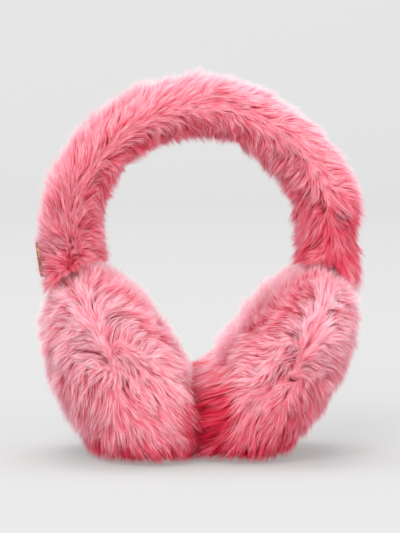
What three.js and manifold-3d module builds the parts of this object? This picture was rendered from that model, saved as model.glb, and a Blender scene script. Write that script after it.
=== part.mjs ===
// Fur earmuffs: a sprung headband in a fur sleeve with a round fur pad at each end, standing
// on the rims of the two pads, which lean against each other at the middle.
// Millimetres, +Z up, the front faces -Y, and left and right are as seen from the front.
// Every solid is the outer form of deep fur, out to the tips of the hair.
import * as THREE from "three";
import { mergeVertices } from "three/addons/utils/BufferGeometryUtils.js";
import Module from "manifold-3d";

const GAP = 0.3; // between pieces that touch
const SAME_POINT = 1e-4; // corners closer than this are one

// Headband: an arch about a centre, angles from its crown, clockwise from the front.
const BAND_CENTRE_HEIGHT = 116.5;
const BAND_SEAM_RADIUS = 68;
const BAND_STEP = 3.5; // degrees between the rings of the arch
const BAND_ARC_POINTS = 13; // across half a section, from front seam to back seam
const BAND_FULLNESS = 2.3; // exponent of the section: 2 is an ellipse, more is squarer
const SEAM_DIP = 2.2; // the fur parts in a groove along each seam
const SEAM_DIP_WIDTH = 5;

// Radii to the hair tips inside and outside the arch, and its thickness from front to back.
const BAND_SECTIONS = [
  { angle: -112, inner: 49.5, outer: 88.6, depth: 50 },
  { angle: -105, inner: 49.5, outer: 89.0, depth: 52 },
  { angle: -97, inner: 49.7, outer: 87.6, depth: 53 },
  { angle: -88, inner: 50.3, outer: 87.2, depth: 53 },
  { angle: -79, inner: 50.8, outer: 87.3, depth: 54 },
  { angle: -70, inner: 53.0, outer: 87.4, depth: 54 },
  { angle: -60, inner: 51.4, outer: 87.3, depth: 56 },
  { angle: -50, inner: 53.2, outer: 87.2, depth: 55 },
  { angle: -38, inner: 51.8, outer: 87.0, depth: 54 },
  { angle: -20, inner: 50.6, outer: 86.6, depth: 53 },
  { angle: 0, inner: 50.2, outer: 87.0, depth: 54 },
  { angle: 17, inner: 50.6, outer: 85.6, depth: 54 },
  { angle: 26, inner: 51.6, outer: 84.6, depth: 54 },
  { angle: 33, inner: 48.2, outer: 84.2, depth: 56 },
  { angle: 45, inner: 48.6, outer: 84.6, depth: 54 },
  { angle: 60, inner: 49.0, outer: 86.6, depth: 54 },
  { angle: 73, inner: 51.2, outer: 88.4, depth: 55 },
  { angle: 81, inner: 50.9, outer: 88.8, depth: 55 },
  { angle: 86, inner: 49.2, outer: 87.2, depth: 53 },
  { angle: 92, inner: 48.3, outer: 82.8, depth: 48 },
  { angle: 98, inner: 49.0, outer: 86.4, depth: 51 },
  { angle: 106, inner: 49.6, outer: 89.6, depth: 52 },
  { angle: 112, inner: 49.8, outer: 89.0, depth: 50 },
];

// Pads: round cushions about their own axis, which runs from the outer dome to the ear.
const PAD_RADIUS = 65;
const PAD_SEAM_HEIGHT = 3; // of the rim seam along the axis, from the pad's centre
const PAD_SEGMENTS = 52;
const PAD_ARC_POINTS = 11; // from the rim seam to the pole
const PAD_PLAN_FULLNESS = 2.3; // exponent of the rim: 2 is a circle
const FALL_START = -28; // the ear face falls away beyond this line, towards the foot
const FUR_COLOURS = { outer: 0xee8ba2, inner: 0xdd6d88 };

// The two halves of a pad: how square the form is, how far its middle slides down the ear face
// for each millimetre out from the rim seam, and how much the face falls away.
const PAD_HALVES = {
  outer: { side: -1, fullness: 2.35, slide: -0.42, fall: 0, colour: FUR_COLOURS.outer },
  cushion: { side: 1, fullness: 3.1, slide: -0.1, fall: 0.0024, colour: FUR_COLOURS.inner },
};

// Where the pads stand: the centre of each, the lean of its ear face from upright, and how
// far the middle of each half stands out from the rim seam. The right one is squashed flatter.
const PAD_PLACES = {
  left: { side: -1, x: -41.3, z: 41.3, lean: 38, reach: { outer: 41, cushion: 34.5 } },
  right: { side: 1, x: 39.4, z: 42.6, lean: 41, reach: { outer: 34.5, cushion: 32.5 } },
};
const CONTACT_X = -1.5; // upright plane in which the two pads press together
const ROOM = 400; // larger than the object, for the spaces that the pads are cut to

// Badge: an oval metal plate low on the outside of the headband.
const BADGE_LENGTH = 18.5;
const BADGE_WIDTH = 13;
const BADGE_THICKNESS = 1.6;
const BADGE_RIM = 1;
const BADGE_EASE = 0.3; // of its edges
const BADGE_DISH = 0.45; // depth of the face below the rim, at its edge
const BADGE_SEGMENTS = 40;
const BADGE_ANGLE = -98;
const BADGE_FACE_RADIUS = 87.2; // of its rim, from the centre of the arch
const POCKET_DEPTH = 8;

const BRASS_COLOUR = 0x9c7a4c;

const wasm = await Module();
wasm.setup();

// A closed geometry as a solid: shared corners are merged and faces of no area are left out.
function toSolid(geometry) {
  const bare = geometry.clone();
  bare.deleteAttribute("normal");
  bare.deleteAttribute("uv");
  const merged = mergeVertices(bare, SAME_POINT);
  const corners = merged.index.array;
  const kept = [];
  for (let i = 0; i < corners.length; i += 3) {
    const [a, b, c] = corners.slice(i, i + 3);
    if (a !== b && b !== c && c !== a) kept.push(a, b, c);
  }
  return new wasm.Manifold(new wasm.Mesh({
    numProp: 3,
    vertProperties: new Float32Array(merged.attributes.position.array),
    triVerts: new Uint32Array(kept),
  }));
}

function toGeometry(solid) {
  const cut = solid.getMesh();
  const geometry = new THREE.BufferGeometry();
  geometry.setAttribute("position", new THREE.BufferAttribute(new Float32Array(cut.vertProperties), 3));
  geometry.setIndex(new THREE.BufferAttribute(new Uint32Array(cut.triVerts), 1));
  geometry.computeVertexNormals();
  return geometry;
}

function furMesh(name, geometry, colour) {
  const fur = new THREE.MeshStandardMaterial({ color: colour, roughness: 0.95, metalness: 0 });
  const mesh = new THREE.Mesh(geometry, fur);
  mesh.name = name;
  return mesh;
}

// A point of a rounded quarter: cos and sin raised so that a higher fullness is squarer.
function roundedCorner(turn, fullness) {
  const power = 2 / fullness;
  return {
    out: Math.cos(turn) ** power,
    along: Math.sign(Math.sin(turn)) * Math.abs(Math.sin(turn)) ** power,
  };
}

// How far the fur dips at a distance from a seam.
function seamDip(distance) {
  return SEAM_DIP * Math.exp(-((distance / SEAM_DIP_WIDTH) ** 2));
}

// A column of a section table at any angle, eased from row to row.
function sectionAt(table, column, angle) {
  const next = Math.max(1, table.findIndex((row) => row.angle >= angle));
  const [before, after] = [table[next - 1], table[next]];
  const share = (angle - before.angle) / (after.angle - before.angle);
  return THREE.MathUtils.lerp(before[column], after[column], THREE.MathUtils.smoothstep(share, 0, 1));
}

// A closed body through rings with the same number of points, capped at both ends.
function loft(rings) {
  const count = rings[0].length;
  const corners = [];
  const quad = (a, b, c, d) => corners.push(a, c, b, a, d, c);
  for (let i = 1; i < rings.length; i += 1) {
    for (let j = 0; j < count; j += 1) {
      const k = (j + 1) % count;
      quad(rings[i - 1][j], rings[i - 1][k], rings[i][k], rings[i][j]);
    }
  }
  const [first, last] = [rings[0], rings[rings.length - 1]];
  for (let j = 1; j < count - 1; j += 1) {
    corners.push(first[0], first[j], first[j + 1]);
    corners.push(last[0], last[j + 1], last[j]);
  }
  return new THREE.BufferGeometry().setFromPoints(corners);
}

// One fur strip of the headband: half of each section, on one side of the seam radius.
function bandStrip(column) {
  const side = column === "outer" ? 1 : -1;
  const rings = [];
  const start = BAND_SECTIONS[0].angle;
  const end = BAND_SECTIONS[BAND_SECTIONS.length - 1].angle;
  for (let angle = start; angle <= end; angle += BAND_STEP) {
    const reach = Math.abs(sectionAt(BAND_SECTIONS, column, angle) - BAND_SEAM_RADIUS) - GAP / 2;
    const halfDepth = sectionAt(BAND_SECTIONS, "depth", angle) / 2;
    const around = THREE.MathUtils.degToRad(angle);
    const ring = [];
    for (let i = 0; i < BAND_ARC_POINTS; i += 1) {
      const turn = Math.PI * (i / (BAND_ARC_POINTS - 1) - 0.5) * side;
      const { out, along } = roundedCorner(turn, BAND_FULLNESS);
      const radius = BAND_SEAM_RADIUS + side * (GAP / 2 + reach * out);
      const y = along * (halfDepth - seamDip(reach * out));
      ring.push(new THREE.Vector3(
        radius * Math.sin(around), y, BAND_CENTRE_HEIGHT + radius * Math.cos(around)));
    }
    rings.push(ring);
  }
  return loft(rings);
}

// One half of a pad about its own axis, grown all round by a clearance.
function padHalf(half, reach, clearance = 0) {
  const { side, fullness, slide, fall } = PAD_HALVES[half];
  const seam = PAD_SEAM_HEIGHT + side * (GAP / 2 - clearance);
  const arc = [];
  for (let i = 0; i <= PAD_ARC_POINTS; i += 1) {
    const { out, along } = roundedCorner((Math.PI / 2) * (i / PAD_ARC_POINTS), fullness);
    const rise = (reach + clearance) * along;
    const radius = (PAD_RADIUS + clearance - seamDip(rise)) * (i < PAD_ARC_POINTS ? out : 0);
    arc.push(new THREE.Vector2(radius, seam + side * rise));
  }
  const middle = new THREE.Vector2(0, seam);
  const profile = side > 0 ? [middle, ...arc] : [...arc.reverse(), middle];
  const body = new THREE.LatheGeometry(profile, PAD_SEGMENTS).rotateX(Math.PI / 2);
  const corners = body.attributes.position;
  const corner = new THREE.Vector3();
  for (let i = 0; i < corners.count; i += 1) {
    corner.fromBufferAttribute(corners, i);
    const squareness = planSquareness(corner.x, corner.y);
    const rise = corner.z - seam;
    const x = corner.x * squareness + slide * rise;
    const y = corner.y * squareness;
    corners.setXYZ(i, x, y, seam + rise * (1 - fall * Math.max(0, x - FALL_START)));
  }
  return body;
}

// How much further out a pad's rim lies than a circle, in the direction of a point.
function planSquareness(x, y) {
  const distance = Math.hypot(x, y);
  if (distance === 0) return 1;
  const raised = (share) => Math.abs(share / distance) ** PAD_PLAN_FULLNESS;
  return (raised(x) + raised(y)) ** (-1 / PAD_PLAN_FULLNESS);
}

// Where a pad stands: its axis points to the ear, its own X axis down the ear face.
function placePad(object, { side, x, z, lean }) {
  const turn = THREE.MathUtils.degToRad(90 - lean);
  object.position.set(x, 0, z);
  object.rotation.set(0, -side * turn, side > 0 ? Math.PI : 0);
  object.updateMatrixWorld(true);
  return object;
}

// The space above the floor and on one side of the contact plane.
function roomFor(side) {
  const inner = CONTACT_X + side * (GAP / 2);
  const room = new THREE.BoxGeometry(ROOM, ROOM, ROOM);
  return room.translate(inner + side * (ROOM / 2), 0, ROOM / 2);
}

// A pad: both halves cut flat where they stand on the floor and where they meet the other pad.
function pad(name, place) {
  const group = placePad(new THREE.Group(), place);
  const ownFrame = group.matrixWorld.clone().invert();
  const room = toSolid(roomFor(place.side).applyMatrix4(ownFrame));
  for (const half of Object.keys(PAD_HALVES)) {
    const body = toSolid(padHalf(half, place.reach[half])).intersect(room);
    group.add(furMesh(`pad_${name}_${half}`, toGeometry(body), PAD_HALVES[half].colour));
  }
  return group;
}

// A pad with the gap round it, in the object's frame, for cutting the ends of the headband.
function padWithGap(place) {
  const frame = placePad(new THREE.Group(), place).matrixWorld;
  const [outer, cushion] = Object.keys(PAD_HALVES).map(
    (half) => toSolid(padHalf(half, place.reach[half], GAP).applyMatrix4(frame)));
  return outer.add(cushion);
}

// An oval body about its own axis: a profile turned into a circle, then narrowed.
function oval(profile) {
  const body = new THREE.LatheGeometry(profile, BADGE_SEGMENTS).rotateX(Math.PI / 2);
  return body.scale(1, BADGE_WIDTH / BADGE_LENGTH, 1);
}

// The badge lies on the arch: its own Z axis points away from the arch's centre.
function placeBadge(object) {
  const around = THREE.MathUtils.degToRad(BADGE_ANGLE);
  const radius = BADGE_FACE_RADIUS - BADGE_THICKNESS;
  object.position.set(radius * Math.sin(around), 0, BAND_CENTRE_HEIGHT + radius * Math.cos(around));
  object.rotation.set(0, around, 0);
  object.updateMatrixWorld(true);
  return object;
}

// The plate: flat back, raised rim, and a face that swells to the height of the rim.
function badge() {
  const edge = BADGE_LENGTH / 2;
  const profile = [
    new THREE.Vector2(0, 0),
    new THREE.Vector2(edge - BADGE_EASE, 0),
    new THREE.Vector2(edge, BADGE_EASE),
    new THREE.Vector2(edge, BADGE_THICKNESS - BADGE_EASE),
    new THREE.Vector2(edge - BADGE_EASE, BADGE_THICKNESS),
    new THREE.Vector2(edge - BADGE_RIM, BADGE_THICKNESS),
    new THREE.Vector2(edge - BADGE_RIM - BADGE_EASE, BADGE_THICKNESS - BADGE_DISH),
    new THREE.Vector2(edge / 2, BADGE_THICKNESS - BADGE_DISH / 2),
    new THREE.Vector2(0, BADGE_THICKNESS - BADGE_DISH / 4),
  ];
  const brass = new THREE.MeshStandardMaterial({ color: BRASS_COLOUR, roughness: 0.35, metalness: 1 });
  const mesh = new THREE.Mesh(toGeometry(toSolid(oval(profile))), brass);
  mesh.name = "badge";
  return placeBadge(mesh);
}

// The space that the badge sits in, open to the outside of the headband.
function badgePocket() {
  const edge = BADGE_LENGTH / 2 + GAP;
  const profile = [
    new THREE.Vector2(0, -GAP),
    new THREE.Vector2(edge, -GAP),
    new THREE.Vector2(edge, POCKET_DEPTH),
    new THREE.Vector2(0, POCKET_DEPTH),
  ];
  const frame = placeBadge(new THREE.Group()).matrixWorld;
  return toSolid(oval(profile).applyMatrix4(frame));
}

// The headband: two strips that end where they run into the pads.
function headband() {
  const group = new THREE.Group();
  const ends = padWithGap(PAD_PLACES.left).add(padWithGap(PAD_PLACES.right));
  const outer = toSolid(bandStrip("outer")).subtract(ends).subtract(badgePocket());
  const inner = toSolid(bandStrip("inner")).subtract(ends);
  group.add(furMesh("headband_outer_fur", toGeometry(outer), FUR_COLOURS.outer));
  group.add(furMesh("headband_inner_fur", toGeometry(inner), FUR_COLOURS.inner));
  return group;
}

const earmuffs = new THREE.Group();
earmuffs.add(headband());
earmuffs.add(badge());
for (const [name, place] of Object.entries(PAD_PLACES)) earmuffs.add(pad(name, place));

export default earmuffs;
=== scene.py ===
# %% [markdown]
# # Fur earmuffs in Blender
#
# This lesson dresses a plain, solid pair of earmuffs in deep rose-pink fur. The solids give
# the outer form, out to the tips of the hair. Each one is replaced by two things: a smaller
# padded body under the fur, and some tens of thousands of hairs that grow from it.
#
# Blender has a hair system, but hair made of plain mesh strands can be exported, measured and
# lit like any other mesh, so every hair here is a slim ribbon that narrows to a point.

# %% The frame
from functools import partial
import math
import bpy
import numpy as np
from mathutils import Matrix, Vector
from mathutils.bvhtree import BVHTree
from mathutils.kdtree import KDTree


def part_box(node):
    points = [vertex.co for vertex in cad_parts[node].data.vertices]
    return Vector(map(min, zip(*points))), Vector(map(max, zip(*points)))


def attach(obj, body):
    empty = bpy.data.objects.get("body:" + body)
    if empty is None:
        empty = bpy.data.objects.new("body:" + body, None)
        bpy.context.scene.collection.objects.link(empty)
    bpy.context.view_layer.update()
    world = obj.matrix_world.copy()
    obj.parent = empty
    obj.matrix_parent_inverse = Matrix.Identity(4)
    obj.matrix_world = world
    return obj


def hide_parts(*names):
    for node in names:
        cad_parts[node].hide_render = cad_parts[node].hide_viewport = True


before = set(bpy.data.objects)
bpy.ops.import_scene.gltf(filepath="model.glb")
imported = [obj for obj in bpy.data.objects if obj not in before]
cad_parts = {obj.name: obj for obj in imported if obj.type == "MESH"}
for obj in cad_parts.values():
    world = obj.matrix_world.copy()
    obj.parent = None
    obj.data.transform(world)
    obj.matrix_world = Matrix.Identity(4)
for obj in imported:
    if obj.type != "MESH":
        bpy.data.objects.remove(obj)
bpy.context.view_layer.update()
MM = 0.001
CM2 = 0.0001

# %% [markdown]
# ## Reading a form
#
# Fur follows whatever it grows on, so the first helper reads a solid into arrays: its corners,
# its triangles, and the normal, area and centre of each triangle. Corners that share a place
# are merged, because a smooth normal needs every triangle round a corner.

# %% A form as arrays
SAME_PLACE = 1e-6
TINY = 1e-12


def unit(vectors):
    return vectors / np.maximum(np.linalg.norm(vectors, axis=-1, keepdims=True), TINY)


def dot(a, b):
    return (a * b).sum(axis=-1, keepdims=True)


def read_form(node):
    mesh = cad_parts[node].data
    mesh.calc_loop_triangles()
    corners = np.empty(len(mesh.vertices) * 3)
    mesh.vertices.foreach_get("co", corners)
    triangles = np.empty(len(mesh.loop_triangles) * 3, dtype=np.int32)
    mesh.loop_triangles.foreach_get("vertices", triangles)
    keys = np.round(corners.reshape(-1, 3) / SAME_PLACE).astype(np.int64)
    _, first, merged = np.unique(keys, axis=0, return_index=True, return_inverse=True)
    corners = corners.reshape(-1, 3)[first]
    triangles = merged.ravel()[triangles].reshape(-1, 3)
    a, b, c = (corners[triangles[:, k]] for k in range(3))
    cross = np.cross(b - a, c - a)
    doubled = np.linalg.norm(cross, axis=1)
    real = doubled > 0
    form = {"corners": corners, "triangles": triangles[real], "normals": unit(cross[real])}
    form["areas"] = doubled[real] / 2
    form["centres"] = ((a + b + c) / 3)[real]
    return form


# %% [markdown]
# The headband has an outer and an inner strip of fur. Each pad has an outer half, and a
# cushion half on the side of the ear. That makes six forms, which are read once and kept.

# %% The six forms
STRIPS = ("outer", "inner")
PADS = ("left", "right")
HALVES = ("outer", "cushion")

FORMS = {f"headband_{strip}": read_form(f"headband_{strip}_fur") for strip in STRIPS}
for side in PADS:
    for half in HALVES:
        FORMS[f"pad_{side}_{half}"] = read_form(f"pad_{side}_{half}")
for name, form in FORMS.items():
    print(f"{name}: {len(form['corners'])} corners and {len(form['triangles'])} triangles")

# %% [markdown]
# ## Where the seams are
#
# Each pad is two panels of fur sewn together round its rim, and the headband is two strips
# sewn along the middle of its edge. The solids are split along the same seams, and a face
# that lies in a seam grows no hair. The headband's seam is a cylinder about the centre of the
# arch, whose size the box of the inner strip gives.

# %% Measuring the arch
inner_low, inner_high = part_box("headband_inner_fur")
SEAM_RADIUS = (inner_high.x - inner_low.x) / 2
ARCH_CENTRE = np.array([0.0, 0.0, inner_high.z - SEAM_RADIUS])
print(f"seam radius {SEAM_RADIUS / MM:.1f} mm, arch centre {ARCH_CENTRE[2] / MM:.1f} mm high")


def around_arch(points):
    """The radius, and the radial and the clockwise direction, at each point of the arch."""
    radial = (points - ARCH_CENTRE) * (1, 0, 1)
    radius = np.linalg.norm(radial, axis=1)
    radial = unit(radial)
    clockwise = np.stack([radial[:, 2], np.zeros(len(points)), -radial[:, 0]], axis=1)
    return radius, radial, clockwise


# %% [markdown]
# The seam of a pad's half is its largest flat face. Triangles of one flat face share a normal
# and a distance from the origin, so rounding these two and counting area finds the face.

# %% The seams of the pads
NORMAL_STEPS = 50  # normals are rounded to a fiftieth, and distances to a millimetre


def flat_share(form):
    """The largest flat face of a form: which triangles are in it, and its normal."""
    offsets = dot(form["normals"], form["centres"])
    planes = np.round(np.hstack([form["normals"] * NORMAL_STEPS, offsets / MM]), 0)
    _, which = np.unique(planes, axis=0, return_inverse=True)
    which = which.ravel()
    sums = np.bincount(which, weights=form["areas"])
    inside = which == np.argmax(sums)
    return inside, form["normals"][inside][0]


for name, form in FORMS.items():
    if name.startswith("pad"):
        flat, form["seam_normal"] = flat_share(form)
        weights = form["areas"][flat]
        form["seam_middle"] = np.average(form["centres"][flat], axis=0, weights=weights)
        print(f"{name}: a seam of {weights.sum() / CM2:.0f} cm2")

# %% [markdown]
# ## The skin
#
# Under the hair lies the backing cloth, stretched over the stuffing of a pad or the sprung
# band. It has the form of the solid drawn in by the depth of the pile. Moving every corner
# inwards along its normal would fold the mesh at the sharp edges, so each form is shrunk
# towards its own seam instead: the headband towards the ring where its strips meet, and each
# half of a pad towards the middle of its seam. The two halves of a seam then still match.

# %% Drawing a form in to its skin
BAND_KEPT = {"thick": 0.3, "deep": 0.52, "end": 0.45}
PAD_KEPT = {"thick": 0.6, "wide": 0.77}
SEAM_CLOSED = 0.2 * MM  # each half reaches this far over the gap in the seam
BAND_END = math.radians(90)  # past this angle the headband is drawn in lengthwise too


def headband_skin(form, points):
    radius, radial, _ = around_arch(points)
    drawn = SEAM_RADIUS + (radius - SEAM_RADIUS) * BAND_KEPT["thick"]
    angle = np.arctan2(radial[:, 0], radial[:, 2])
    past = np.maximum(np.abs(angle) - BAND_END, 0) * (1 - BAND_KEPT["end"])
    angle = angle - np.sign(angle) * past
    across = points[:, 1] * BAND_KEPT["deep"]
    return ARCH_CENTRE + np.stack([np.sin(angle) * drawn, across, np.cos(angle) * drawn], axis=1)


def pad_skin(form, points):
    offset = points - form["seam_middle"]
    across = form["seam_normal"] * dot(offset, form["seam_normal"])
    middle = form["seam_middle"] + form["seam_normal"] * SEAM_CLOSED
    return middle + across * PAD_KEPT["thick"] + (offset - across) * PAD_KEPT["wide"]


for name, form in FORMS.items():
    form["skin_of"] = headband_skin if name.startswith("headband") else pad_skin
    form["skin"] = form["skin_of"](form, form["corners"])
    depth = np.linalg.norm(form["corners"] - form["skin"], axis=1)
    print(f"{name}: drawn in by {np.median(depth) / MM:.0f} mm at most places")

# %% [markdown]
# ## Which faces grow hair
#
# Hair grows on every face but those in a seam. The faces that a pad stands on, or presses on
# the other pad with, are covered by flattened hair, and need less of it.

# %% Fur faces
IN_SEAM = 0.5 * MM
NEAR_FLOOR = 1 * MM
STRAIGHT_DOWN, STRAIGHT_ACROSS = -0.99, 0.999  # how a pressed face's normal points


def off_seam(form, points):
    """How far each point is from the seam, and the direction over the seam there."""
    if "seam_normal" in form:
        across = np.tile(form["seam_normal"], (len(points), 1))
        return np.abs(dot(points - form["seam_middle"], across)[:, 0]), across
    radius, radial, _ = around_arch(points)
    return np.abs(radius - SEAM_RADIUS), radial * np.sign(SEAM_RADIUS - radius)[:, None]


def mark_faces(name, form):
    part, form["side"] = name.split("_")[:2]
    in_seam = off_seam(form, form["corners"])[0] < IN_SEAM
    form["furry"] = ~in_seam[form["triangles"]].all(axis=1)
    form["pressed"] = np.zeros(len(form["areas"]), dtype=bool)
    if part == "pad":
        low = form["centres"][:, 2] < NEAR_FLOOR
        standing = (form["normals"][:, 2] < STRAIGHT_DOWN) & low
        touching = np.abs(form["normals"][:, 0]) > STRAIGHT_ACROSS
        form["pressed"] = (standing | touching) & form["furry"]


for name, form in FORMS.items():
    mark_faces(name, form)
    furry, pressed = (form["areas"][form[key]].sum() / CM2 for key in ("furry", "pressed"))
    print(f"{name}: {furry:.0f} cm2 of fur, {pressed:.0f} cm2 of it pressed flat")

# %% [markdown]
# A triangle mesh is faceted, but fur isn't. Each corner gets a smooth normal, the mean of the
# furry faces round it by area. A search tree of the same faces later finds the place on the
# fur that is nearest to any point.

# %% Smooth normals and a search tree
def smooth_normals(form):
    furry = form["furry"]
    weighted = form["normals"] * form["areas"][:, None]
    corner_normals = np.zeros((len(form["corners"]), 3))
    for k in range(3):
        np.add.at(corner_normals, form["triangles"][furry, k], weighted[furry])
    return unit(corner_normals)


for name, form in FORMS.items():
    form["corner_normals"] = smooth_normals(form)
    faces = form["triangles"][form["furry"]].tolist()
    form["fur_tree"] = BVHTree.FromPolygons(form["corners"].tolist(), faces)
    print(f"{name}: {len(faces)} furry faces in its tree")

# %% [markdown]
# ## A smooth wander
#
# Fur is never combed quite straight. A sum of a few sine waves that run in random directions
# gives a value that drifts smoothly through space, and one function of it serves for the
# swirl of the nap, the lumps of the pile and the drift of the colour.

# %% Smooth noise
WAVES = 14
WAVE_RANGE = (0.6, 1.5)  # shortest and longest wave number, as shares of the mean


def wander(points, wavelength, seed):
    """A smooth value of unit spread at each point."""
    rng = np.random.default_rng(seed)
    waves = unit(rng.normal(size=(WAVES, 3))) * rng.uniform(*WAVE_RANGE, size=(WAVES, 1))
    phases = rng.uniform(0, 2 * math.pi, WAVES)
    heights = np.sin(points @ waves.T * (2 * math.pi / wavelength) + phases)
    return heights.sum(axis=1) / math.sqrt(WAVES / 2)


drift = wander(FORMS["headband_outer"]["corners"], 10 * MM, 1)
print(f"a wander over the headband has a spread of {drift.std():.2f}")

# %% [markdown]
# ## The nap of the headband
#
# The nap is the way the hair lies. On the outer strip of the headband it runs clockwise over
# the arch and out from the seam, and on the inner strip it hangs in from the seam. Hair never
# stands quite upright in a parting, where one would see the skin between it. It lies up along
# the parting instead, and turns away over a centimetre or so. A nap is a plain vector field.

# %% The headband's nap
PARTING_WIDTH = 12 * MM
DOWN = np.array([0, 0, -1.0])
HANG = 0.25
ALONG_LOST = {"outer": 0.2, "inner": 0.85}  # how much less it runs along, away from the seam
OUTER_SPREAD = 0.65


def turned_away(distance):
    """From 0 in a parting to 1 well away from it."""
    return np.clip(distance / PARTING_WIDTH, 0, 1)[:, None]


def headband_nap(strip, points, normals):
    radius, radial, clockwise = around_arch(points)
    away = turned_away(np.abs(radius - SEAM_RADIUS))
    along = clockwise * (1 - ALONG_LOST[strip] * away)
    if strip == "outer":
        return along + radial * OUTER_SPREAD * away
    return along - radial * away + DOWN * HANG * away


print("at 3, 6 and 12 mm from the seam the nap has turned away by",
      turned_away(np.array([3, 6, 12]) * MM)[:, 0].round(2))

# %% [markdown]
# ## The nap of a pad
#
# On the rim of a pad the nap spreads from a parting, which runs down the upper half and ends
# in a whorl near the middle. On the two faces of a pad it hangs and spreads a little.

# %% A pad's nap
RIM_SHARE = 1.5  # how soon the rim's nap takes over from the face's
FACE_SPREAD = 0.7
FACE_HANG = {"outer": 1.0, "cushion": 0.15}
PARTINGS = {  # across and up, as shares of the pad's own box
    "left": {"top": (0.22, 0.95), "whorl": (0.38, 0.54)},
    "right": {"top": (0.80, 0.96), "whorl": (0.56, 0.49)},
}


def pad_extent(side):
    """The lowest corner and the size of a whole pad."""
    low_outer, high_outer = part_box(f"pad_{side}_outer")
    low_cushion, high_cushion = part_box(f"pad_{side}_cushion")
    low = np.minimum(low_outer, low_cushion)
    return low, np.maximum(high_outer, high_cushion) - low


def parting_ends(side):
    """The two ends of a pad's parting, seen from the front."""
    low, size = pad_extent(side)
    return (low[[0, 2]] + size[[0, 2]] * PARTINGS[side][end] for end in ("top", "whorl"))


def pad_nap(side, half, points, normals):
    low, size = pad_extent(side)
    top, whorl = parting_ends(side)
    line = whorl - top
    seen = points[:, [0, 2]]
    share = np.clip(((seen - top) @ line) / (line @ line), 0, 1)[:, None]
    from_parting = seen - (top + share * line)
    away = turned_away(np.linalg.norm(from_parting, axis=1))
    flat = unit(from_parting) * away - unit(line) * (1 - away)
    on_rim = np.stack([flat[:, 0], np.zeros(len(points)), flat[:, 1] - HANG * away[:, 0]], axis=1)
    on_face = DOWN * FACE_HANG[half] + FACE_SPREAD * unit(points - (low + size / 2))
    rim = np.clip(RIM_SHARE * np.abs(normals[:, 1:2]), 0, 1)
    return on_rim * rim + on_face * (1 - rim)


for side in PADS:
    top, whorl = parting_ends(side)
    print(f"{side} pad: a parting {np.linalg.norm(whorl - top) / MM:.0f} mm long")

# %% [markdown]
# ## Laying the nap
#
# The field is laid flat on the surface by taking away the part that points out of it. Then it
# is turned a little by two wanders, a wide one and a narrow one, as if brushed by hand.

# %% Laying a nap on a surface
NAP_SWIRL = ((24 * MM, 20), (9 * MM, 13))  # wavelength, degrees
LIES_DOWN = 2  # how soon a weak field lays the hair right down
UPRIGHT = 1e-9  # a field shorter than this leaves the hair upright


def lay_nap(field, points, normals, seed):
    """The field laid flat on the surface and turned by the swirls."""
    flat = field - normals * dot(field, normals)
    turn = sum(math.radians(angle) * wander(points, wave, seed + k)
               for k, (wave, angle) in enumerate(NAP_SWIRL))
    across = np.cross(normals, flat)
    flat = flat * np.cos(turn)[:, None] + across * np.sin(turn)[:, None]
    length = np.linalg.norm(flat, axis=1, keepdims=True)
    return flat / np.maximum(length, UPRIGHT) * np.clip(length * LIES_DOWN, 0, 1)


form = FORMS["headband_outer"]
combed = headband_nap("outer", form["corners"], form["corner_normals"])
laid = lay_nap(combed, form["corners"], form["corner_normals"], 0)
print(f"the headband's nap rises {np.abs(dot(laid, form['corner_normals'])).max():.3f} off it")

# %% [markdown]
# ## Sowing the tips
#
# It is the tips that make the form, so a hair is planned from its tip. Tips are scattered
# over the fur faces, each triangle getting its share by area, and each takes its normal from
# the three corners round it.

# %% Tips
PRESSED_SHARE = 0.4  # pressed faces get less hair


def sow(form, count, rng):
    share = form["areas"] * form["furry"] * np.where(form["pressed"], PRESSED_SHARE, 1)
    chosen = rng.choice(len(share), size=count, p=share / share.sum())
    a, b = rng.random((2, count, 1))
    over = a + b > 1
    a, b = np.where(over, 1 - a, a), np.where(over, 1 - b, b)
    weights = np.hstack([1 - a - b, a, b])[:, :, None]
    corner = form["triangles"][chosen]
    places = (form["corners"][corner] * weights).sum(axis=1)
    normals = unit((form["corner_normals"][corner] * weights).sum(axis=1))
    return places, normals


trial, _ = sow(FORMS["pad_left_outer"], 1000, np.random.default_rng(0))
print(f"of 1000 tips sown on half a pad, 500 are above {np.median(trial[:, 2]) / MM:.0f} mm")

# %% [markdown]
# ## Round the badge and at the touch
#
# Two places need hair that knows where it is. The badge is pressed into the pile, so the fur
# stands up round it and is flat under it. And the two pads touch at the bottom, where their
# coats run into each other: the right pad's hair goes under the left's.

# %% Places with hair of their own
BADGE_LOW, BADGE_HIGH = (np.array(corner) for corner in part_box("badge"))
BADGE_MIDDLE, BADGE_HALF = (BADGE_LOW + BADGE_HIGH) / 2, (BADGE_HIGH - BADGE_LOW) / 2
BADGE_REACH = 15 * MM
BADGE_RIM = (0.85, 0.3)  # the fur starts to rise here, and over this width, in half-badges
TOUCH_X = (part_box("pad_left_cushion")[1].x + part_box("pad_right_cushion")[0].x) / 2
TOUCH_TOP = 52 * MM
TOUCH_WIDTH = 8 * MM


def round_badge(points):
    """1 at the rim of the badge, 0 under the badge and falling to 0 away from it."""
    offset = (points - BADGE_MIDDLE) / BADGE_HALF
    outside = np.linalg.norm(offset[:, 1:], axis=1)
    near = np.exp(-(np.linalg.norm(points - BADGE_MIDDLE, axis=1) / BADGE_REACH) ** 4)
    return near * np.clip((outside - BADGE_RIM[0]) / BADGE_RIM[1], 0, 1)


def near_touch(points):
    """1 where the two pads touch, falling to 0 away from there."""
    below = np.clip((TOUCH_TOP - points[:, 2]) / TOUCH_WIDTH, 0, 1)
    return np.exp(-((points[:, 0] - TOUCH_X) / TOUCH_WIDTH) ** 2) * below


print(f"the badge is at {(BADGE_MIDDLE / MM).round()} mm, and the pads touch where x is",
      f"{TOUCH_X / MM:.1f} mm")

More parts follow.
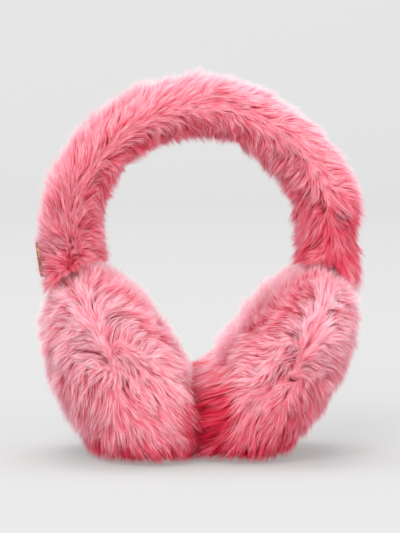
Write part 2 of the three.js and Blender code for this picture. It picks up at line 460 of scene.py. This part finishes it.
# %% [markdown]
# ## Where a tip ends up
#
# A tip starts on the form and is then moved a little. Low lumps make the pile uneven. Near a
# seam the tips are raised and fall over it, on to the other side, which hides the seam as
# brushing does on the real fur. At the touch they are shifted, and at the feet tucked in.

# %% Moving the tips
TIP_LUMPS = {"wavelength": 14 * MM, "height": 1.2 * MM, "seed": 7}
LOOSE = 0.9 * MM  # how far any tip may stray
SEAM_WIDTH, SEAM_FILL, SEAM_OVER, SEAM_STRAY = 4 * MM, 2.4 * MM, 3.2 * MM, 1.8 * MM
BADGE_SINK = 3.2 * MM
TOUCH_SHIFT = {"left": -4 * MM, "right": -9 * MM}
TOUCH_STRAY = 1.6 * MM
FOOT_TUCK, FOOT_HEIGHT = 0.05, 5 * MM


def move_tips(form, places, across, near_seam, outward, rng, seed):
    lumps = wander(places, TIP_LUMPS["wavelength"], seed + TIP_LUMPS["seed"])
    rise = TIP_LUMPS["height"] * lumps
    rise = rise + SEAM_FILL * near_seam + BADGE_SINK * round_badge(places)
    over = (SEAM_OVER + rng.normal(size=len(places)) * SEAM_STRAY) * near_seam
    moved = places + outward * rise[:, None] + across * over[:, None]
    moved = moved + rng.normal(scale=LOOSE, size=(len(places), 3))
    shift = TOUCH_SHIFT.get(form["side"], 0) + rng.normal(size=len(places)) * TOUCH_STRAY
    moved[:, 0] += shift * near_touch(places)
    moved[:, 1] *= 1 - FOOT_TUCK * np.clip(1 - moved[:, 2] / FOOT_HEIGHT, 0, 1)
    return moved


print(f"tips fall {SEAM_OVER / MM:.1f} mm over a seam and rise {BADGE_SINK / MM:.1f} mm at the badge")

# %% [markdown]
# ## Growing a hair
#
# A hair's root lies in the skin, under a pore that is a little way up the nap from its tip.
# The hair leaves the skin towards the pore and bends over to the tip, and three points are
# enough to draw it as a curve: root, knee and tip.

# %% Root, knee and tip
NAP_REACH = 11 * MM  # how far a tip lies down the nap from its pore
KNEE_UP, KNEE_ALONG = 0.72, 0.18


def grow(form, nap, places, normals, reach, rng, seed):
    """Roots, knees and tips of hairs. Reach is each hair's length as a share of the pile."""
    flow = lay_nap(nap(places, normals), places, normals, seed)
    found = [form["fur_tree"].find_nearest(Vector(place)) for place in places - flow * NAP_REACH]
    pores = np.array([nearest[0][:] for nearest in found])
    roots = form["skin_of"](form, pores)
    distance, across = off_seam(form, places)
    near_seam = np.exp(-(distance / SEAM_WIDTH) ** 2)
    outward = unit(unit(pores - roots) + normals)
    full = move_tips(form, places, across, near_seam, outward, rng, seed)
    tips = roots + (full - roots) * reach[:, None]
    knees = roots + ((pores - roots) * KNEE_UP + (places - pores) * KNEE_ALONG) * reach[:, None]
    return roots, knees, tips


form = FORMS["headband_outer"]
rng = np.random.default_rng(0)
places, normals = sow(form, 500, rng)
roots, _, tips = grow(form, partial(headband_nap, "outer"), places, normals, np.ones(500), rng, 0)
print(f"a hair is {np.median(np.linalg.norm(tips - roots, axis=1)) / MM:.0f} mm from root to tip")

# %% [markdown]
# ## Tufts and locks
#
# Hair clings together. Some tips are chosen as leaders of tufts a couple of millimetres
# across, and every other tip is drawn part of the way to its nearest leader. The leaders
# gather into larger locks in the same way. A tuft also shares a shade, because it fades as one.

# %% Tufts
TUFT_SIZE, LOCK_SIZE = 2.2 * MM, 8 * MM
TUFT_PULL, LOCK_PULL = 0.45, 0.3
PULL_RANGE = (0.5, 1.3)


def nearest_leader(leaders, points):
    tree = KDTree(len(leaders))
    for i, place in enumerate(leaders):
        tree.insert(place, i)
    tree.balance()
    return np.array([tree.find(point)[1] for point in points])


def gather(places, tips, area, rng):
    """How far each tip is drawn to its tuft, and a shade that is shared by a tuft."""
    tufts = rng.choice(len(places), size=int(area / TUFT_SIZE**2), replace=False)
    locks = rng.choice(tufts, size=int(area / LOCK_SIZE**2), replace=False)
    lock_of = nearest_leader(places[locks], places[tufts])
    lead = tips[tufts] + (tips[locks][lock_of] - tips[tufts]) * LOCK_PULL
    tuft_of = nearest_leader(places[tufts], places)
    pull = TUFT_PULL * rng.uniform(*PULL_RANGE, len(places))
    shades = rng.random(len(tufts))
    return (lead[tuft_of] - tips) * pull[:, None], shades[tuft_of]


pad_area = (FORMS["pad_left_outer"]["areas"] * FORMS["pad_left_outer"]["furry"]).sum()
print(f"half a pad has {int(pad_area / TUFT_SIZE**2)} tufts in {int(pad_area / LOCK_SIZE**2)} locks")

# %% [markdown]
# ## From curves to ribbons
#
# Each hair becomes a ribbon: pairs of points on either side of its curve, and one point at the
# tip. The flat side faces outwards, turned a little either way, so that it catches the light
# as the surface under it does. Two sections, so three triangles, are enough for a slim hair.

# %% Ribbons
SECTIONS = 2
TRIANGLES_EACH = 2 * SECTIONS - 1
TAPER = 1.6


def bend(roots, knees, tips, s):
    return roots * (1 - s) ** 2 + knees * 2 * s * (1 - s) + tips * s**2


def bend_direction(roots, knees, tips, s):
    return unit((knees - roots) * (1 - s) + (tips - knees) * s)


def ribbon_points(curve, outward, width, rolls):
    """Points of all ribbons, hair by hair, and how far along its hair each one is."""
    rows, along = [], []
    for k in range(SECTIONS):
        s = k / SECTIONS
        direction = bend_direction(*curve, s)
        side = unit(np.cross(direction, outward))
        face = np.cross(side, direction)
        side = side * np.cos(rolls)[:, None] + face * np.sin(rolls)[:, None]
        half = side * (width * (1 - s**TAPER) / 2)[:, None]
        middle = bend(*curve, s)
        rows += [middle - half, middle + half]
        along += [s, s]
    rows.append(curve[2])
    along.append(1.0)
    return np.stack(rows, axis=1), np.array(along)


def ribbon_faces():
    """Faces of one ribbon as corner numbers: quads, and a triangle at the tip."""
    quads = [[2 * k, 2 * k + 1, 2 * k + 3, 2 * k + 2] for k in range(SECTIONS - 1)]
    last = 2 * (SECTIONS - 1)
    return quads + [[last, last + 1, last + 2]]


print(f"a ribbon has the faces {ribbon_faces()}, which is {TRIANGLES_EACH} triangles")

# %% [markdown]
# All the ribbons of one piece go into one mesh, which is built from whole arrays because that
# is far quicker than hair by hair. Two numbers are stored at each point for the material to
# read: how far it is from root to tip, and the shade of its hair. The same two numbers place
# the point in the map called OFBake, so a baked picture of the fur is exact.

# %% One mesh from all the ribbons
CHART_EDGE = 0.02
CHART_ACROSS, CHART_UP, RIBBON_ACROSS = 0.95, 0.96, 0.01  # shares of the map


def add_bake_map(mesh, tips, shades, sides, loops):
    across = CHART_EDGE + CHART_ACROSS * shades + RIBBON_ACROSS * sides
    up = CHART_EDGE + CHART_UP * tips
    chart = np.stack([across[loops], up[loops]], axis=1)
    layer = mesh.uv_layers.new(name="OFBake")
    layer.data.foreach_set("uv", chart.astype(np.float32).ravel())


def strands_mesh(name, points, along, shade):
    hairs, per_hair = points.shape[:2]
    faces = ribbon_faces()
    order = np.concatenate(faces)
    face_starts = np.cumsum([0] + [len(face) for face in faces])[:-1]
    number = np.arange(hairs)[:, None]
    loops = (number * per_hair + order).ravel().astype(np.int32)
    starts = (number * len(order) + face_starts).ravel().astype(np.int32)
    tips, shades = along.ravel(), np.repeat(shade, per_hair)
    mesh = bpy.data.meshes.new(name)
    mesh.vertices.add(hairs * per_hair)
    mesh.vertices.foreach_set("co", points.astype(np.float32).ravel())
    mesh.loops.add(len(loops))
    mesh.loops.foreach_set("vertex_index", loops)
    mesh.polygons.add(len(starts))
    mesh.polygons.foreach_set("loop_start", starts)
    mesh.update(calc_edges=True)
    mesh.shade_smooth()
    for label, values in (("tip", tips), ("shade", shades)):
        attribute = mesh.attributes.new(label, "FLOAT", "POINT")
        attribute.data.foreach_set("value", values.astype(np.float32))
    add_bake_map(mesh, tips, shades, np.tile(np.arange(per_hair) % 2, hairs), loops)
    return mesh


print("the map gives a hair's shade", CHART_ACROSS, "of its width and the way up the hair", CHART_UP)

# %% [markdown]
# ## The colour of the fur
#
# The hair is dyed through but pales towards its tips, which fade in use. Down in the pile the
# light bounces from hair to hair and only the red survives, so the roots are deep and
# saturated. Two ramps run from root to tip, a deep one for hair in painted shade and a paler
# one for hair in painted light. Each hair's shade mixes the two: it holds painted light and
# shade, and a tone that differs at random from tuft to tuft and hair to hair.

# %% Dye ramps for painted shade and painted light
# the deep ramp is for hair in painted shade and deep tufts, the pale one for hair in painted light
# and pale tufts
DEEP_SHADED = (
    (0.0, (0.70, 0.01, 0.045)),
    (0.5, (0.87, 0.05, 0.135)),
    (1.0, (0.91, 0.25, 0.38)),
)
PALE_LIT = (
    (0.0, (0.95, 0.05, 0.125)),
    (0.5, (0.975, 0.40, 0.52)),
    (1.0, (0.975, 0.98, 1.0)),
)


def add_node(tree, kind, **settings):
    node = tree.nodes.new(kind)
    for key, value in settings.items():
        setattr(node, key, value)
    return node


def add_ramp(tree, stops):
    ramp = add_node(tree, "ShaderNodeValToRGB")
    marks = ramp.color_ramp.elements
    while len(marks) < len(stops):
        marks.new(0.5)
    for mark, (place, colour) in zip(marks, stops):
        mark.position = place
        mark.color = (*colour, 1)
    return ramp


print("root colours:", DEEP_SHADED[0][1], "and", PALE_LIT[0][1])
print("tip colours:", DEEP_SHADED[-1][1], "and", PALE_LIT[-1][1])

# %% [markdown]
# A little over half of the light passes through a hair and comes out redder, since it meets
# the dye twice. So the translucent part of the mix has the colour multiplied by itself. The
# rest is a rough surface with next to no shine, because clean fur is soft and dry.

# %% Fur material
FUR_ROUGHNESS, FUR_SHINE, FUR_THROUGH = 0.65, 0.06, 0.54


def fur_material(name):
    material = bpy.data.materials.new(name)
    material.use_nodes = True
    tree = material.node_tree
    tree.nodes.clear()
    tip = add_node(tree, "ShaderNodeAttribute", attribute_name="tip")
    shade = add_node(tree, "ShaderNodeAttribute", attribute_name="shade")
    deep_shaded = add_ramp(tree, DEEP_SHADED)
    pale_lit = add_ramp(tree, PALE_LIT)
    dye = add_node(tree, "ShaderNodeMix", data_type="RGBA")
    surface = add_node(tree, "ShaderNodeBsdfPrincipled")
    surface.inputs["Roughness"].default_value = FUR_ROUGHNESS
    surface.inputs["Specular IOR Level"].default_value = FUR_SHINE
    filtered = add_node(tree, "ShaderNodeVectorMath", operation="MULTIPLY")
    through = add_node(tree, "ShaderNodeBsdfTranslucent")
    mix = add_node(tree, "ShaderNodeMixShader")
    mix.inputs["Fac"].default_value = FUR_THROUGH
    output = add_node(tree, "ShaderNodeOutputMaterial")
    link = tree.links.new
    link(tip.outputs["Fac"], deep_shaded.inputs["Fac"])
    link(tip.outputs["Fac"], pale_lit.inputs["Fac"])
    # the shade attribute, painted light and shade with a random tone, mixes the deep and the pale
    # ramp
    link(shade.outputs["Fac"], dye.inputs["Factor"])
    link(deep_shaded.outputs["Color"], dye.inputs["A"])
    link(pale_lit.outputs["Color"], dye.inputs["B"])
    link(dye.outputs["Result"], surface.inputs["Base Color"])
    link(dye.outputs["Result"], filtered.inputs[0])
    link(dye.outputs["Result"], filtered.inputs[1])
    link(filtered.outputs["Vector"], through.inputs["Color"])
    link(surface.outputs["BSDF"], mix.inputs[1])
    link(through.outputs["BSDF"], mix.inputs[2])
    link(mix.outputs["Shader"], output.inputs["Surface"])
    return material


rose_fur = fur_material("rose_fur")
print(f"{rose_fur.name} has {len(rose_fur.node_tree.nodes)} nodes")

# %% [markdown]
# ## The body under the fur
#
# The skin becomes a piece of its own, in a dark knitted cloth that only shows, if at all, in
# the depth between the hairs. Small cells make the loops of the knit, darker at their edges.

# %% Backing cloth
KNIT_CELLS = 900  # cells in a metre
KNIT_LOOP, KNIT_GAP = (0.60, 0.03, 0.07, 1), (0.42, 0.015, 0.04, 1)
KNIT_ROUGHNESS = 0.9


def backing_material():
    material = bpy.data.materials.new("knit_backing")
    material.use_nodes = True
    tree = material.node_tree
    surface = tree.nodes["Principled BSDF"]
    place = add_node(tree, "ShaderNodeTexCoord")
    knit = add_node(tree, "ShaderNodeTexVoronoi")
    knit.inputs["Scale"].default_value = KNIT_CELLS
    ramp = add_node(tree, "ShaderNodeValToRGB")
    ramp.color_ramp.elements[0].color = KNIT_LOOP
    ramp.color_ramp.elements[1].color = KNIT_GAP
    surface.inputs["Roughness"].default_value = KNIT_ROUGHNESS
    tree.links.new(place.outputs["Object"], knit.inputs["Vector"])
    tree.links.new(knit.outputs["Distance"], ramp.inputs["Fac"])
    tree.links.new(ramp.outputs["Color"], surface.inputs["Base Color"])
    return material


knit_backing = backing_material()
print(f"{knit_backing.name} has loops about {1 / KNIT_CELLS / MM:.1f} mm across")

# %% [markdown]
# Every piece is added in the same way. It rides on the body, takes its material, hides the
# solid that it stands for and says which one that is. The backing is made of the skin's
# corners and the solid's own triangles, so it needs no modelling of its own.

# %% Adding a piece
def add_piece(name, mesh, material, replaced):
    mesh.materials.append(material)
    piece = bpy.data.objects.new(name, mesh)
    bpy.context.scene.collection.objects.link(piece)
    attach(piece, "root")
    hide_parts(replaced)
    print(f"{name} stands for {replaced}")
    return piece


def add_backing(name, form, replaced):
    mesh = bpy.data.meshes.new(name)
    mesh.from_pydata(form["skin"].tolist(), [], form["triangles"].tolist())
    mesh.shade_smooth()
    return add_piece(name, mesh, knit_backing, replaced)


# %% [markdown]
# ## Painted light and shade
#
# Light and shade are painted into the fur's colour here. Fur that faces up, towards the light,
# is painted paler, and so is the upper part of a pad and its ear side. Shade is painted in at
# the headband's lower ends, at the feet, and where the two pads press together, and there it
# is mottled. Each pad's face is a little deeper towards its middle. The right pad is painted
# paler at its top and with deeper shade at its bottom than the left one.

# %% Painted light and shade
# These numbers paint light and shade into the fur's colour. OPEN_SIDE is the side the light comes
# from.
OPEN_SIDE = unit(np.array([-0.25, -0.25, 1.0]))
PAD_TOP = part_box("pad_left_cushion")[1].z
BAND_SHADE, BAND_FACING = {"outer": 0.66, "inner": 0.64}, 0.38
# painted shade at the headband's lower ends: below which height, how deep, and how strong on each
# side
BAND_END_SHADE = {"below": 1.45, "depth": 0.45, "left": 0.35, "right": 1.15}  # heights in PAD_TOPs
# painted shade: the right pad is deeper low down than the left, and is painted paler faster with
# height
PAD_SHADE, PAD_FACING, PAD_MIDDLE = {"left": 0.74, "right": 0.50}, 0.25, 0.18
PAD_RISE = {"left": 0.52, "right": 0.85}
EAR_SIDE = 0.25
# painted shade in the crease where the two pads touch, much deeper on the right pad
TOUCH_SHADE, TOUCH_SHADE_HEIGHT = {"left": 0.9, "right": 3.6}, 26 * MM
FOOT_SHADE, FOOT_SHARE = 0.6, 9  # the painted shade at the feet fades out at a ninth of a pad's height
MOTTLED, MOTTLE_SIZE, MOTTLE_SEED = 0.45, 11 * MM, 5


def painted_light(name, form, places, normals):
    """Painted light and shade at each place: 1 or more is the palest, as in full light, and 0 or less
    the deepest, as in full shade.
    """
    side = form["side"]
    # painted light: fur that faces the side the light comes from is paler, and fur that faces away is
    # deeper
    facing = dot(normals, OPEN_SIDE)[:, 0]
    height = places[:, 2] / PAD_TOP
    mottled = 1 + MOTTLED * wander(places, MOTTLE_SIZE, MOTTLE_SEED)
    if name.startswith("headband"):
        # painted shade at the headband's lower ends, much deeper on the right
        by_end = np.where(places[:, 0] > 0, BAND_END_SHADE["right"], BAND_END_SHADE["left"])
        end = np.clip(BAND_END_SHADE["below"] - height, 0, BAND_END_SHADE["depth"]) * by_end * mottled
        return BAND_SHADE[side] + BAND_FACING * facing - end
    # painted shade in the crease where the two pads touch
    touch_shade = np.clip((TOUCH_TOP - places[:, 2]) / TOUCH_SHADE_HEIGHT, 0, 1) * near_touch(places)
    touch_shade = touch_shade * TOUCH_SHADE[side] * mottled
    # painted shade at the feet, where the pads stand on the table
    foot = FOOT_SHADE * np.clip(1 - height * FOOT_SHARE, 0, 1)
    # a little deeper towards the middle of each pad's face
    middle = PAD_MIDDLE * np.abs(normals[:, 1])
    ear_side = EAR_SIDE if "cushion" in name else 0
    # painted light: the upper part of a pad and its ear side are paler
    whole = PAD_SHADE[side] + ear_side + PAD_FACING * facing + PAD_RISE[side] * height
    return whole - middle - touch_shade - foot


for name, form in FORMS.items():
    shade = painted_light(name, form, form["corners"], form["corner_normals"])
    print(f"{name}: exposed by {np.percentile(shade, 10):.2f} to {np.percentile(shade, 90):.2f}")

# %% [markdown]
# Deep in the crease between the pads, and right at the feet, shade is painted in. There the
# way from root to tip, which the ramps read, stops short of the tip, so the pale ends are cut
# off and only the deep colour shows.

# %% Painted shade in the crease and at the feet
# how strongly shade is painted in the crease on each side, and at the feet
CREASE_SHADOWING = {"left": 0.35, "right": 0.75}
CREASE_DEPTH, CREASE_FADE = 12 * MM, 16 * MM
FOOT_SHADOWING, MOST_SHADOWING = 0.6, 0.9
CREASE_MOTTLED, CREASE_MOTTLE_SIZE, CREASE_SEED = 0.5, 8 * MM, 6


def shadowed(form, places):
    """How much of each hair's paler end is cut off as painted shade, in the crease between the pads
    and at the feet.
    """
    depth = np.clip((TOUCH_TOP - CREASE_DEPTH - places[:, 2]) / CREASE_FADE, 0, 1)
    crease = CREASE_SHADOWING.get(form["side"], 0) * near_touch(places) * depth
    foot = FOOT_SHADOWING * np.clip(1 - places[:, 2] / FOOT_HEIGHT, 0, 1)
    mottled = 1 + CREASE_MOTTLED * wander(places, CREASE_MOTTLE_SIZE, CREASE_SEED)
    return np.clip((crease + foot) * mottled, 0, MOST_SHADOWING)


for name, form in FORMS.items():
    lost = shadowed(form, form["centres"])
    print(f"{name}: {form['areas'][lost > 0.1].sum() / CM2:.0f} cm2 of its hair has buried ends")

# %% [markdown]
# ## Two coats
#
# An animal has long guard hairs over short, dense underfur, and good imitation fur is made
# the same way. The guard hairs carry the look. The underfur is shorter, and only fills the
# depth between them. A whole coat is planned at once, as arrays with a row for each hair, and
# the underfur comes last in them.

# %% Growing a coat
HAIR_WIDTH = {"guard": 0.36 * MM, "under": 0.42 * MM}
WIDTH_RANGE = (0.75, 1.2)
REACH = {"guard": (0.86, 1.13), "under": (0.5, 0.9)}
GUARD_SHARE = 0.75
UNDER_PALES = 0.8  # the underfur never gets as pale as the tips of the guard hairs
KNEE_PULL = 0.35
TUFT_CONTRAST, HAIR_CONTRAST = 0.5, 0.6
ROLL = math.radians(38)
FLOOR_GAP = 0.4 * MM  # no hair goes lower than this


def hair_curves(form, nap, count, is_under, rng, seed):
    """Curves of a coat, the places and normals they were planned at, and their tufts' shades."""
    places, normals = sow(form, count, rng)
    long_reach = rng.uniform(*REACH["guard"], count)
    short_reach = rng.uniform(*REACH["under"], count)
    reach = np.where(is_under, short_reach, long_reach)
    roots, knees, tips = grow(form, nap, places, normals, reach, rng, seed)
    area = (form["areas"] * form["furry"]).sum()
    pulled, tuft_shade = gather(places, tips, area, rng)
    curve = (roots, knees + pulled * KNEE_PULL, tips + pulled)
    for points in curve:
        points[:, 2] = np.maximum(points[:, 2], FLOOR_GAP)
    return curve, places, normals, tuft_shade


def coat(name, form, nap, triangles, seed):
    rng = np.random.default_rng(seed)
    guard = int(triangles * GUARD_SHARE / TRIANGLES_EACH)
    under = int(triangles * (1 - GUARD_SHARE) / TRIANGLES_EACH)
    count = guard + under
    is_under = np.arange(count) >= guard
    curve, places, normals, tuft_shade = hair_curves(form, nap, count, is_under, rng, seed)
    # shade holds painted light and shade, plus a tone that differs at random by tuft and by hair
    shade = np.maximum(painted_light(name, form, places, normals), 0)
    shade += TUFT_CONTRAST * (tuft_shade - 0.5) + HAIR_CONTRAST * (rng.random(count) - 0.5)
    rolls = rng.normal(scale=ROLL, size=count)
    width = np.where(is_under, HAIR_WIDTH["under"], HAIR_WIDTH["guard"])
    width = width * rng.uniform(*WIDTH_RANGE, count)
    points, along = ribbon_points(curve, normals, width, rolls)
    # pales holds the underfur's paler limit and the painted shade in the crease and at the feet
    pales = np.where(is_under, UNDER_PALES, 1) * (1 - shadowed(form, places))
    print(f"{name}: {guard} guard hairs and {under} of underfur")
    return strands_mesh(name, points, along * pales[:, None], np.clip(shade, 0, 1))


print(f"guard hairs are {HAIR_WIDTH['guard'] / MM:.2f} mm wide at the root")

# %% [markdown]
# ## Dressing the headband
#
# Each strip gets its coat and its backing. The outer strip is the larger and gets the most
# hair. The counts are in triangles, since those are what a mesh costs.

# %% The headband's two strips
BAND_TRIANGLES = {"outer": 190000, "inner": 150000}
BAND_SEED = 100
for number, strip in enumerate(STRIPS):
    node = f"headband_{strip}_fur"
    form = FORMS[f"headband_{strip}"]
    nap = partial(headband_nap, strip)
    mesh = coat(f"headband_{strip}_hair", form, nap, BAND_TRIANGLES[strip], BAND_SEED + number)
    add_piece(f"headband_{strip}_hair", mesh, rose_fur, node)
    add_backing(f"headband_{strip}_backing", form, node)

# %% [markdown]
# ## Dressing the pads
#
# A pad's two halves share a seed, so their swirls and lumps run on over the seam. On the real
# pair the pads are firmly stuffed.

# %% The two halves of each pad
PAD_TRIANGLES = 150000
PAD_SEED, SEED_STEP = 200, 10
for number, side in enumerate(PADS):
    for half in HALVES:
        node = f"pad_{side}_{half}"
        form = FORMS[node]
        nap = partial(pad_nap, side, half)
        mesh = coat(f"{node}_hair", form, nap, PAD_TRIANGLES, PAD_SEED + SEED_STEP * number)
        add_piece(f"{node}_hair", mesh, rose_fur, node)
        backing = add_backing(f"{node}_backing", form, node)

# %% [markdown]
# ## The badge
#
# A small oval plate of aged brass sits low on the outside of the headband. Its shape in the
# solid is right, so the node stays and only takes a better metal. A cloudy noise sets both
# the colour and the roughness, since tarnished metal is darker and duller in the same places.

# %% Aged brass
TARNISH_SCALE, TARNISH_DETAIL = 260, 4
TARNISHED = {"place": 0.35, "colour": (0.12, 0.06, 0.025, 1), "roughness": 0.55}
POLISHED = {"place": 0.65, "colour": (0.42, 0.26, 0.11, 1), "roughness": 0.35}


def brass_material():
    material = bpy.data.materials.new("aged_brass")
    material.use_nodes = True
    tree = material.node_tree
    surface = tree.nodes["Principled BSDF"]
    surface.inputs["Metallic"].default_value = 1.0
    place = add_node(tree, "ShaderNodeTexCoord")
    cloud = add_node(tree, "ShaderNodeTexNoise")
    cloud.inputs["Scale"].default_value = TARNISH_SCALE
    cloud.inputs["Detail"].default_value = TARNISH_DETAIL
    ramp = add_node(tree, "ShaderNodeValToRGB")
    for mark, look in zip(ramp.color_ramp.elements, (TARNISHED, POLISHED)):
        mark.position = look["place"]
        mark.color = look["colour"]
    rough = add_node(tree, "ShaderNodeMapRange")
    rough.inputs["To Min"].default_value = TARNISHED["roughness"]
    rough.inputs["To Max"].default_value = POLISHED["roughness"]
    tree.links.new(place.outputs["Object"], cloud.inputs["Vector"])
    tree.links.new(cloud.outputs["Fac"], ramp.inputs["Fac"])
    tree.links.new(cloud.outputs["Fac"], rough.inputs["Value"])
    tree.links.new(ramp.outputs["Color"], surface.inputs["Base Color"])
    tree.links.new(rough.outputs["Result"], surface.inputs["Roughness"])
    return material


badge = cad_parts["badge"]
badge.data.materials.clear()
badge.data.materials.append(brass_material())
print("the badge is", (2 * BADGE_HALF / MM).round(1), "mm across its three sides")

# %% [markdown]
# ## The table
#
# The pair stands on a pale sweep: a floor that curves up into a wall, so that there is no
# horizon behind it. The paper gives off a little light of its own, which keeps it even from
# front to back and keeps the shadow under the pads soft.

# %% Sweep
SWEEP_FRONT, SWEEP_DEPTH, SWEEP_WIDTH, SWEEP_HEIGHT, SWEEP_BEND = -6.0, 4.5, 12.0, 5.0, 2.0
BEND_STEPS = 24
PAPER = (0.24, 0.24, 0.24, 1)
WHITE = (1, 1, 1, 1)
GLOW = 0.30


def paper_material():
    material = bpy.data.materials.new("pale_paper")
    material.use_nodes = True
    surface = material.node_tree.nodes["Principled BSDF"]
    surface.inputs["Base Color"].default_value = PAPER
    surface.inputs["Roughness"].default_value = 1.0
    surface.inputs["Specular IOR Level"].default_value = 0.0
    surface.inputs["Emission Color"].default_value = WHITE
    surface.inputs["Emission Strength"].default_value = GLOW
    return material


def add_sweep():
    bend_start = SWEEP_DEPTH - SWEEP_BEND
    profile = [(SWEEP_FRONT, 0.0), (bend_start, 0.0)]
    for step in range(1, BEND_STEPS + 1):
        turn = math.pi / 2 * step / BEND_STEPS
        profile.append((bend_start + SWEEP_BEND * math.sin(turn), SWEEP_BEND * (1 - math.cos(turn))))
    profile.append((SWEEP_DEPTH, SWEEP_HEIGHT))
    corners = [(x, y, z) for y, z in profile for x in (-SWEEP_WIDTH / 2, SWEEP_WIDTH / 2)]
    faces = [(2 * k, 2 * k + 1, 2 * k + 3, 2 * k + 2) for k in range(len(profile) - 1)]
    mesh = bpy.data.meshes.new("sweep")
    mesh.from_pydata(corners, [], faces)
    mesh.shade_smooth()
    mesh.materials.append(paper_material())
    sweep = bpy.data.objects.new("sweep", mesh)
    bpy.context.scene.collection.objects.link(sweep)
    print(f"the sweep has {len(faces)} faces and its wall is {SWEEP_DEPTH} m behind the pair")


add_sweep()

# %% [markdown]
# ## The light
#
# The light is soft and comes from large round lamps. The key is in front, above and a little
# to the left. A fill, low and to the right, reaches under the arch, and a weak lamp is
# straight above. A fourth lamp lights only the wall behind. White surroundings do the rest.

# %% Lights
AT_PAIR, AT_WALL = (0, 0, 0.1), (0, 4.2, 1.2)
LIGHTS = (
    {"name": "key", "place": (-1.3, -3.2, 2.3), "size": 2.4, "power": 165, "aim": AT_PAIR},
    {"name": "top", "place": (-0.2, -0.2, 3.2), "size": 2.4, "power": 42, "aim": AT_PAIR},
    {"name": "fill", "place": (1.6, -3.2, 0.6), "size": 2.4, "power": 85, "aim": AT_PAIR},
    {"name": "wall", "place": (0, 1.6, 4.2), "size": 3.0, "power": 175, "aim": AT_WALL},
)
SURROUNDINGS = 0.85


def add_light(name, place, size, power, aim):
    light = bpy.data.lights.new(name, "AREA")
    light.shape = "DISK"
    light.size = size
    light.energy = power
    lamp = bpy.data.objects.new(name, light)
    lamp.location = place
    lamp.rotation_euler = (Vector(aim) - Vector(place)).to_track_quat("-Z", "Y").to_euler()
    bpy.context.scene.collection.objects.link(lamp)
    print(f"{name} light: {power} W")


for light in LIGHTS:
    add_light(**light)
world = bpy.data.worlds.new("studio")
world.use_nodes = True
world.node_tree.nodes["Background"].inputs["Color"].default_value = WHITE
world.node_tree.nodes["Background"].inputs["Strength"].default_value = SURROUNDINGS
bpy.context.scene.world = world
bpy.context.scene.view_settings.view_transform = "Standard"

# %% [markdown]
# ## The camera
#
# A long lens from a little to the left and a little above, so that both pads show their
# fronts and the badge just shows its edge.

# %% Camera
AZIMUTH, ELEVATION, DISTANCE = math.radians(-5), math.radians(4), 1.8
VIEW_HEIGHT = 282.49 * MM  # what the tall side of the view takes in, at the pair
LOOK_AT = Vector((-0.0005, 0, 0.1001))
SENSOR_WIDTH = 36  # millimetres, as in a full-frame camera

camera = bpy.data.objects.new("camera", bpy.data.cameras.new("camera"))
back = Vector((math.sin(AZIMUTH) * math.cos(ELEVATION),
               -math.cos(AZIMUTH) * math.cos(ELEVATION), math.sin(ELEVATION)))
camera.location = LOOK_AT + back * DISTANCE
camera.rotation_euler = back.to_track_quat("Z", "Y").to_euler()
camera.data.sensor_width = SENSOR_WIDTH
camera.data.lens = SENSOR_WIDTH * DISTANCE / VIEW_HEIGHT
bpy.context.scene.collection.objects.link(camera)
bpy.context.scene.camera = camera
print(f"the lens is {camera.data.lens:.0f} mm long and {DISTANCE} m from the pair")
